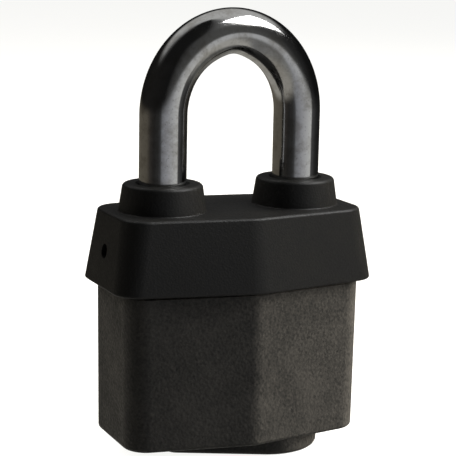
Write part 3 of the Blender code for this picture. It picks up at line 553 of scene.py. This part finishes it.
shackleShape = {
    "wireRadius": 5.56,
    "bowRise": 1.85,
    "innerPeak": 0.45,          # how far the inside of the bow is drawn up at its top
    "innerPeakAngle": 15.0,
    "toeChamfer": 1.2,
    "neckRadius": 4.4,
    "heelCollarHeight": 3.5,
    "edgeRound": 0.25,
    "notchGap": 0.3,
    "ringSides": 72,
    "bowSteps": 120,
    "legSteps": 40,
    "neckSteps": 20,
    "chamferSteps": 4,
    "shoulderDrop": 0.01,       # a neck's shoulder is this much short of flat
}


def makeShackle():
    shape = shackleShape
    low, high = boxOf("shackle")
    radius = shape["wireRadius"]
    legX = high.x - radius
    bowCentre = high.z - radius - shape["bowRise"] - legX
    toeBottom = boxOf("toe_ball")[0].z - shape["notchGap"] - shape["toeChamfer"]
    ballLow, ballHigh = boxOf("toe_ball")
    ballHeight = (ballLow.z + ballHigh.z) / 2
    ballRadius = (ballHigh.z - ballLow.z) / 2
    lockedX = (ballLow.x + ballHigh.x) / 2 + joints["toe_ball_slide"]["range_m"][1] * 1000
    heelLow = low.z
    collarTop = heelLow + shape["heelCollarHeight"]
    neckTop = ballHeight + shape["notchGap"] / 2
    edge = shape["edgeRound"]
    stations = []                       # centre, outward direction, radius, angle on the bow

    def leg(side, height, ringRadius):
        stations.append((Vector((side * legX, 0, height)), Vector((side, 0, 0)), ringRadius, None))

    chamfer = shape["toeChamfer"]
    legSteps, neckSteps, drop = shape["legSteps"], shape["neckSteps"], shape["shoulderDrop"]
    for step in range(shape["chamferSteps"] + 1):
        share = step / shape["chamferSteps"]
        leg(1, toeBottom + chamfer * share, radius - chamfer * (1 - share))
    for step in range(1, legSteps):
        leg(1, toeBottom + chamfer + (bowCentre - toeBottom - chamfer) * step / legSteps, radius)
    for step in range(shape["bowSteps"] + 1):
        angle = math.pi * step / shape["bowSteps"]
        rise = legX + shape["bowRise"]
        centre = Vector((legX * math.cos(angle), 0, bowCentre + rise * math.sin(angle)))
        outward = Vector((rise * math.cos(angle), 0, legX * math.sin(angle))).normalized()
        stations.append((centre, outward, radius, math.degrees(angle)))
    for step in range(1, legSteps + 1):
        leg(-1, bowCentre + (neckTop + edge - bowCentre) * step / legSteps, radius)
    leg(-1, neckTop, radius - edge)
    leg(-1, neckTop - drop, shape["neckRadius"])
    for step in range(1, neckSteps):
        leg(-1, neckTop + (collarTop - neckTop) * step / neckSteps, shape["neckRadius"])
    leg(-1, collarTop + drop, shape["neckRadius"])
    leg(-1, collarTop, radius - edge)
    leg(-1, collarTop - edge, radius)
    leg(-1, heelLow + edge * 2, radius)
    leg(-1, heelLow, radius - edge * 2)

    sides = shape["ringSides"]
    bm = bmesh.new()
    uv = bm.loops.layers.uv.new("wire")
    rings, lengths = [], [0.0]
    for index, (centre, outward, ringRadius, bowAngle) in enumerate(stations):
        if index:
            lengths.append(lengths[-1] + (centre - stations[index - 1][0]).length)
        ring = []
        for i in range(sides):
            turn = 2 * math.pi * i / sides
            reach = ringRadius
            if bowAngle is not None and math.cos(turn) < 0:
                peak = math.exp(-((bowAngle - 90) / shape["innerPeakAngle"]) ** 2)
                reach -= shape["innerPeak"] * peak * math.cos(turn) ** 2
            point = centre + outward * (reach * math.cos(turn)) + Vector((0, reach * math.sin(turn), 0))
            ring.append(bm.verts.new(mm(*point)))
        rings.append(ring)
    for index in range(len(rings) - 1):
        for i in range(sides):
            j = (i + 1) % sides
            face = bm.faces.new((rings[index][i], rings[index][j], rings[index + 1][j], rings[index + 1][i]))
            around = [i, i + 1, i + 1, i]
            ends = [index, index, index + 1, index + 1]
            for loop, a, e in zip(face.loops, around, ends):
                loop[uv].uv = (lengths[e] / 1000, 2 * math.pi * radius * a / sides / 1000)
    bm.faces.new(list(reversed(rings[0])))
    bm.faces.new(rings[-1])
    piece = newPiece("chromedShackle", meshFrom("chromedShackle", bm), chrome)
    notch = ballRadius + shape["notchGap"]
    combine(piece, "DIFFERENCE", [
        ballMesh("toeNotch", notch, (lockedX, 0, ballHeight)),
        ballMesh("heelNotch", notch, (-lockedX, 0, ballHeight)),
    ])
    smoothShade(piece.data, 32)
    place(piece, "shackle", "chrome", "shackle")


makeShackle()
print("shackle made")

# upper cap: a tapered six-sided hood with two conical collars that the legs pass through

capShape = {
    "lowerPlan": (32.65, 20.2, 14.25),
    "upperPlan": (30.15, 16.7, 12.45),
    "height": 17.1,
    "rounding": (6.3, 14.0),
    "wall": 1.9,
    "topThickness": 2.4,
    "topEdge": 0.65,
    "lipEdge": 0.6,
    "collarBase": 10.25,
    "collarTop": 9.45,
    "collarRound": 0.95,
    "collarFillet": 0.35,
    "boreRadius": 5.91,
    "boreChamfer": 0.45,
    "sealRadius": 8.0,
    "sealDepth": 4.2,
    "screwHole": 1.7,
    "screwHoleEnds": (27.3, 34.0),      # from inside the wall to outside it
    "cornerSteps": 9,
    "edgeSteps": 6,
    "turnSteps": 96,
}


def makeCap():
    shape = capShape
    low, high = boxOf("upper_cap")
    screwLow, screwHigh = boxOf("cap_screw_toe")
    screwHeight = (screwLow.z + screwHigh.z) / 2
    legX = boxOf("shackle")[1].x - shackleShape["wireRadius"]
    topFace = low.z + shape["height"]
    ceiling = topFace - shape["topThickness"]

    def ring(height, inset):
        share = (height - low.z) / shape["height"]
        plan = [a + (b - a) * share for a, b in zip(shape["lowerPlan"], shape["upperPlan"])]
        return atHeight(sixSided(plan, shape["rounding"], inset, shape["cornerSteps"]), height)

    wall = shape["wall"]
    rings = [
        ring(ceiling, wall + 1.0), ring(ceiling - 0.4, wall + 0.4), ring(ceiling - 1.0, wall),
        ring(low.z + 0.3, wall), ring(low.z, wall - 0.3),
    ]
    lip, edge = shape["lipEdge"], shape["topEdge"]
    for turn in quarterTurn(shape["edgeSteps"]):
        rings.append(ring(low.z + lip * (1 - math.cos(turn)), lip * (1 - math.sin(turn))))
    for share in (0.25, 0.5, 0.75):
        rings.append(ring(low.z + shape["height"] * share, 0))
    for turn in quarterTurn(shape["edgeSteps"]):
        rings.append(ring(topFace - edge * (1 - math.sin(turn)), edge * (1 - math.cos(turn))))
    piece = newPiece("mouldedUpperCap", ringLoft("mouldedUpperCap", rings), capPlastic)

    collars, cuts = [], []
    for side in (-1, 1):
        centre = (side * legX, 0)
        top, rounding, fillet = high.z, shape["collarRound"], shape["collarFillet"]
        profile = [(0, top)]
        for turn in quarterTurn(shape["edgeSteps"]):
            profile.append((
                shape["collarTop"] - rounding * (1 - math.sin(turn)),
                top - rounding * (1 - math.cos(turn)),
            ))
        for turn in quarterTurn(shape["edgeSteps"]):
            profile.append((
                shape["collarBase"] + fillet * (1 - math.cos(turn)),
                topFace - 0.02 + fillet * (1 - math.sin(turn)),
            ))
        profile += [(shape["collarBase"] + fillet, topFace - 1.2), (0, topFace - 1.2)]
        collars.append(turnedMesh("collar", profile, centre, shape["turnSteps"]))
        bore, chamfer = shape["boreRadius"], shape["boreChamfer"]
        cuts.append(turnedMesh("bore", [
            (0, top + 1), (bore + chamfer + 1, top + 1), (bore + chamfer, top),
            (bore, top - chamfer), (bore, ceiling - 1), (0, ceiling - 1),
        ], centre, shape["turnSteps"]))
        cuts.append(rodMesh(
            "sealSeat", shape["sealRadius"], (centre[0], 0, ceiling - 1),
            (centre[0], 0, ceiling + shape["sealDepth"]), shape["turnSteps"],
        ))
        holeStart, holeEnd = [(side * x, 0, screwHeight) for x in shape["screwHoleEnds"]]
        cuts.append(rodMesh("screwHole", shape["screwHole"], holeStart, holeEnd))
    combine(piece, "UNION", collars)
    combine(piece, "DIFFERENCE", cuts)
    smoothShade(piece.data, 30)
    weighNormals(piece)
    place(piece, "lock_body", "cap_plastic", "upper_cap")


makeCap()
print("cap made")

# lower jacket: a six-sided sleeve round the plates, open below for the key and the rivets

jacketShape = {
    "plan": (29.8, 17.5, 12.85),
    "rounding": (5.8, 9.0),
    "taper": 0.99,
    "bottomEdge": 1.0,
    "floor": 2.0,
    "rimStep": 0.8,
    "innerPlan": (27.0, 14.0, 10.6),
    "innerRounding": (4.5, 4.5),
    "innerGap": 0.3,
    "keyHole": 7.0,
    "housingHalf": 4.4,
    "pivotHole": 1.5,
    "rivetRecess": 2.9,
    "cornerSteps": 9,
    "edgeSteps": 6,
}


def makeJacket():
    shape = jacketShape
    low, high = boxOf("lower_jacket")
    capLow = boxOf("upper_cap")[0].z
    height = high.z - low.z
    plugX = 0.0
    housing = boxOf("cylinder_shell")[1].x
    pin = boxOf("dust_cover_pin")
    pivotX = (pin[0].x + pin[1].x) / 2
    inside = low.z + shape["floor"]

    def ring(z, inset):
        scale = shape["taper"] + (1 - shape["taper"]) * (z - low.z) / height
        plan = [value * scale for value in shape["plan"]]
        return atHeight(sixSided(plan, shape["rounding"], inset, shape["cornerSteps"]), z)

    def inner(z):
        return atHeight(
            sixSided(shape["innerPlan"], shape["innerRounding"], -shape["innerGap"], shape["cornerSteps"]), z,
        )

    rings = []
    edge = shape["bottomEdge"]
    for turn in quarterTurn(shape["edgeSteps"]):
        rings.append(ring(low.z + edge * (1 - math.cos(turn)), edge * (1 - math.sin(turn))))
    for share in (0.25, 0.5, 0.75):
        rings.append(ring(low.z + (capLow - low.z) * share, 0))
    rim = shape["rimStep"]
    rings += [
        ring(capLow - rim, 0), ring(capLow - rim / 2, rim * 0.3), ring(capLow, rim), ring(high.z, rim),
    ]
    rings += [inner(high.z), inner(inside)]
    piece = newPiece("leatherGrainedJacket", ringLoft("leatherGrainedJacket", rings), jacketPlastic)
    below, above = low.z - 1, inside + 1
    cuts = [
        rodMesh("keyHole", shape["keyHole"], (plugX, 0, below), (plugX, 0, above), 64),
        boxMesh("housingHole", (0, -shape["housingHalf"], below), (housing, shape["housingHalf"], above)),
        rodMesh("pivotHole", shape["pivotHole"], (pivotX, 0, below), (pivotX, 0, above), 32),
    ]
    # the rivet heads stand a little into the floor, so each has a recess through half of it
    for name in ("rivet_heel_front", "rivet_heel_back", "rivet_toe_front", "rivet_toe_back"):
        head = boxOf(name)
        x, y = (head[0].x + head[1].x) / 2, (head[0].y + head[1].y) / 2
        seat = low.z + shape["floor"] / 2
        cuts.append(rodMesh("rivetRecess", shape["rivetRecess"], (x, y, seat), (x, y, above), 32))
    combine(piece, "DIFFERENCE", cuts)
    smoothShade(piece.data, 30)
    weighNormals(piece)
    place(piece, "lock_body", "jacket_plastic", "lower_jacket")


makeJacket()
print("jacket made")

# dust cover: a pear-shaped flap that swings on its pin to bare the keyway

coverShape = {
    "centreX": 10.3,
    "radius": 12.9,
    "pivotRadius": 3.3,
    "edge": 1.3,
    "pinHeadRoom": 2.3,
    "pinHeadDepth": 1.4,
    "pinHole": 1.5,
    "washerRoom": 2.6,
    "washerDepth": 0.5,
    "topEdge": 0.25,
    "edgeSteps": 6,
    "largeSteps": 72,
    "smallSteps": 20,
}


def makeCover():
    shape = coverShape
    low, high = boxOf("dust_cover")
    pin = boxOf("dust_cover_pin")
    pivotX = (pin[0].x + pin[1].x) / 2

    def outline(inset, height):
        spread = shape["centreX"] - pivotX
        turn = 180 - math.degrees(math.acos((shape["radius"] - shape["pivotRadius"]) / spread))
        large = arcPoints((shape["centreX"], 0), shape["radius"] - inset, -turn, turn, shape["largeSteps"])
        small = arcPoints((pivotX, 0), shape["pivotRadius"] - inset, turn, 360 - turn, shape["smallSteps"])
        return atHeight(large + small, height)

    rings = []
    edge = shape["edge"]
    for turn in quarterTurn(shape["edgeSteps"]):
        rings.append(outline(edge * (1 - math.sin(turn)), low.z + edge * (1 - math.cos(turn))))
    rings += [outline(0, high.z - shape["topEdge"]), outline(shape["topEdge"], high.z)]
    piece = newPiece("keywayDustCover", ringLoft("keywayDustCover", rings), jacketPlastic)
    below, above = (pivotX, 0, low.z - 1), (pivotX, 0, high.z + 1)
    headTop = (pivotX, 0, low.z + shape["pinHeadDepth"])
    washerSeat = (pivotX, 0, high.z - shape["washerDepth"])
    cuts = [
        rodMesh("headRoom", shape["pinHeadRoom"], below, headTop),
        rodMesh("pinHole", shape["pinHole"], below, above),
        rodMesh("washerRoom", shape["washerRoom"], washerSeat, above),
    ]
    combine(piece, "DIFFERENCE", cuts)
    smoothShade(piece.data, 30)
    weighNormals(piece)
    place(piece, "dust_cover", "jacket_plastic", "dust_cover")


makeCover()
print("dust cover made")

# dust cover pin: its head is peened to a low dome inside the cover's recess

pinShape = {
    "shankRadius": 1.2,
    "headHeight": 0.8,
    "tipChamfer": 0.2,
    "domeSteps": 8,
    "turnSteps": 48,
}


def makeCoverPin():
    shape = pinShape
    low, high = boxOf("dust_cover_pin")
    headRadius = (high.x - low.x) / 2
    centre = ((low.x + high.x) / 2, (low.y + high.y) / 2)
    profile = [
        (headRadius * math.sin(turn), low.z + shape["headHeight"] * (1 - math.cos(turn)))
        for turn in quarterTurn(shape["domeSteps"])
    ]
    shank, tip = shape["shankRadius"], shape["tipChamfer"]
    profile += [
        (shank, low.z + shape["headHeight"]),
        (shank, high.z - tip), (shank - tip, high.z), (0, high.z),
    ]
    mesh = turnedMesh("peenedCoverPin", profile, centre, shape["turnSteps"])
    smoothShade(mesh, 40)
    place(newPiece("peenedCoverPin", mesh, springSteel), "lock_body", "spring_steel", "dust_cover_pin")


# plug: two ribs stand in the keyway, one from each side, so that only a grooved key goes in

wardShape = {
    "ribs": [(-1, -3.3, -2.6), (1, -1.5, -0.8)],        # side, from y, to y
    "halfSlot": 1.1,
    "reach": 0.75,
    "root": 0.3,                # how far a rib goes into the slot's wall
    "start": 0.35,
    "depth": 22.0,
}


def makePlug():
    shape = wardShape
    low, high = boxOf("plug")
    piece = newPiece("wardedPlug", nodes["plug"].data.copy())
    ribs = []
    for side, start, end in shape["ribs"]:
        inner = side * (shape["halfSlot"] - shape["reach"])
        outer = side * (shape["halfSlot"] + shape["root"])
        ribs.append(boxMesh(
            "rib", (min(inner, outer), start, low.z + shape["start"]),
            (max(inner, outer), end, low.z + shape["depth"]),
        ))
    combine(piece, "UNION", ribs)
    smoothShade(piece.data, 25)
    place(piece, "cylinder_plug", "brass", "plug")


# pin springs: each is copied onto a mesh of its own in the lock body; the real springs close up as their
# driver pins are pushed back

def makePinSprings():
    for number in range(1, 6):
        node = f"pin_spring_{number}"
        piece = newPiece(f"pinSpring{number}", nodes[node].data.copy())
        place(piece, "lock_body", "spring_steel", node)
        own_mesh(piece)


makeCoverPin()
makePlug()
makePinSprings()
print("pin, plug and springs made")

# floor, light and surroundings: a pale sweep in a soft white room

studio = {
    "floorColour": "#f8f8f6",
    "floorPaint": "#6e6e6d",
    "floorGlow": 0.97,          # the floor's own light, for the camera only, keeps it near white
    "floorHalfSize": 3.0,       # metres
    "fill": 0.10,               # soft light from all round, on dull surfaces
    # what shiny surfaces mirror, from the table up to the ceiling: the heights (sine of the angle)
    # between which each level takes over, and its tones by degrees to the right of the camera
    "levels": [
        (-1.0, -0.9, [
            (-180, "#a5a39c"), (-80, "#a3a099"), (-10, "#9b9891"), (22, "#828280"), (45, "#767676"),
            (62, "#b1afaa"), (82, "#b1afaa"), (98, "#61615f"), (130, "#5c5b59"), (180, "#a5a39c"),
        ]),
        (-0.48, -0.28, [
            (-180, "#6a665d"), (-120, "#625d53"), (-80, "#5a554c"), (-62, "#3a3734"), (-42, "#2a2928"),
            (-20, "#343434"), (-9, "#48494b"), (-3, "#808287"), (20, "#9c9da2"), (45, "#b5b6b8"),
            (76, "#cfcfcd"), (79, "#505051"), (105, "#303030"), (130, "#1e1e1e"), (180, "#3c3a38"),
        ]),
        (-0.12, 0.02, [
            (-180, "#121212"), (-100, "#201f1e"), (0, "#171717"), (20, "#444444"), (50, "#565655"),
            (75, "#2c2c2c"), (110, "#151515"), (180, "#121212"),
        ]),
        (0.48, 0.68, [
            (-180, "#c0c0bf"), (-125, "#bcbcbb"), (-100, "#9b9b9b"), (-82, "#454545"), (-68, "#181818"),
            (22, "#181818"), (42, "#6a6a6a"), (62, "#b4b4b3"), (110, "#c4c4c3"), (180, "#c2c2c1"),
        ]),
    ],
}


def makeFloor():
    bm = bmesh.new()
    half = studio["floorHalfSize"]
    corners = [bm.verts.new((x * half, y * half, 0)) for x, y in ((-1, -1), (1, -1), (1, 1), (-1, 1))]
    bm.faces.new(corners)
    mesh = bpy.data.meshes.new("paleFloor")
    bm.to_mesh(mesh)
    bm.free()
    material = bpy.data.materials.new("palePaintedFloor")
    material.use_nodes = True
    tree = material.node_tree
    tree.nodes.clear()
    paint = addNode(tree, "ShaderNodeBsdfDiffuse", {}, {"Color": linearColour(studio["floorPaint"])})
    paths = addNode(tree, "ShaderNodeLightPath", {}, {}, "Is Camera Ray")
    strength = addNode(tree, "ShaderNodeMath", {"operation": "MULTIPLY"}, {0: paths, 1: studio["floorGlow"]})
    glow = addNode(tree, "ShaderNodeEmission", {}, {
        "Color": linearColour(studio["floorColour"]), "Strength": strength,
    })
    both = addNode(tree, "ShaderNodeAddShader", {}, {0: paint, 1: glow})
    clear = addNode(tree, "ShaderNodeBsdfTransparent", {}, {})
    below = addNode(tree, "ShaderNodeNewGeometry", {}, {}, "Backfacing")
    seen = addNode(tree, "ShaderNodeMixShader", {}, {"Fac": below, 1: both, 2: clear})
    addNode(tree, "ShaderNodeOutputMaterial", {}, {"Surface": seen})
    floor = newPiece("paleFloor", mesh, material)
    floor.visible_glossy = False


def fromCamera(sideways, height, distance):
    # a place round the padlock: degrees to the right of the camera, degrees up, metres away
    angle = math.radians(-90 - cameraView["yaw"] + sideways)
    flat = distance * math.cos(math.radians(height))
    return Vector((
        flat * math.cos(angle), flat * math.sin(angle),
        0.055 + distance * math.sin(math.radians(height)),
    ))


# watts, size in metres, place from fromCamera, colour, whether shiny surfaces mirror it
lamps = {
    "keySoftbox": (6.0, (0.62, 0.46), (80, 50, 0.9), "#ffffff", True),
    "rakingWindow": (94.0, (0.35, 0.5), (108, 13, 0.9), "#fff7ec", False),
    "leftBackPanel": (10.0, (0.35, 0.5), (-116, 30, 0.7), "#fffaf4", False),
}


def makeLamps():
    target = Vector((0, 0, 0.055))
    for name, (watts, size, place, colour, mirrored) in lamps.items():
        data = bpy.data.lights.new(name, "AREA")
        data.shape = "RECTANGLE"
        data.energy = watts
        data.size, data.size_y = size
        data.color = linearColour(colour)[:3]
        lamp = bpy.data.objects.new(name, data)
        scene.collection.objects.link(lamp)
        lamp.location = fromCamera(*place)
        lamp.rotation_mode = "QUATERNION"
        lamp.rotation_quaternion = (target - lamp.location).to_track_quat("-Z", "Y")
        lamp.visible_glossy = mirrored


def makeWorld():
    world = bpy.data.worlds.new("softStudio")
    scene.world = world
    world.use_nodes = True
    tree = world.node_tree
    tree.nodes.clear()
    direction = addNode(tree, "ShaderNodeTexCoord", {}, {}, "Generated")
    turned = addNode(tree, "ShaderNodeMapping", {}, {
        "Vector": direction, "Rotation": (0, 0, math.radians(90 + cameraView["yaw"])),
    })
    around = addNode(tree, "ShaderNodeTexGradient", {"gradient_type": "RADIAL"}, {"Vector": turned}, "Fac")
    height = addNode(tree, "ShaderNodeSeparateXYZ", {}, {"Vector": direction}, "Z")
    room = None
    for low, high, tones in studio["levels"]:
        level = addNode(tree, "ShaderNodeValToRGB", {
            "stops": [((degrees + 180) / 360, colour) for degrees, colour in tones],
        }, {"Fac": around})
        if room is None:
            room = level
            continue
        share = addNode(tree, "ShaderNodeMapRange", {"interpolation_type": "SMOOTHSTEP"}, {
            "Value": height, "From Min": low, "From Max": high,
        })
        room = addNode(tree, "ShaderNodeMix", {"data_type": "RGBA"}, {0: share, 6: room, 7: level}, 2)
    fill = addNode(tree, "ShaderNodeBackground", {}, {"Color": (1, 1, 1, 1), "Strength": studio["fill"]})
    mirrored = addNode(tree, "ShaderNodeBackground", {}, {"Color": room})
    white = addNode(tree, "ShaderNodeBackground", {}, {"Color": (1, 1, 1, 1)})
    glossyRay = addNode(tree, "ShaderNodeLightPath", {}, {}, "Is Glossy Ray")
    cameraRay = addNode(tree, "ShaderNodeLightPath", {}, {}, "Is Camera Ray")
    lit = addNode(tree, "ShaderNodeMixShader", {}, {"Fac": glossyRay, 1: fill, 2: mirrored})
    seen = addNode(tree, "ShaderNodeMixShader", {}, {"Fac": cameraRay, 1: lit, 2: white})
    addNode(tree, "ShaderNodeOutputWorld", {}, {"Surface": seen})


makeFloor()
makeLamps()
makeWorld()
print("studio made")
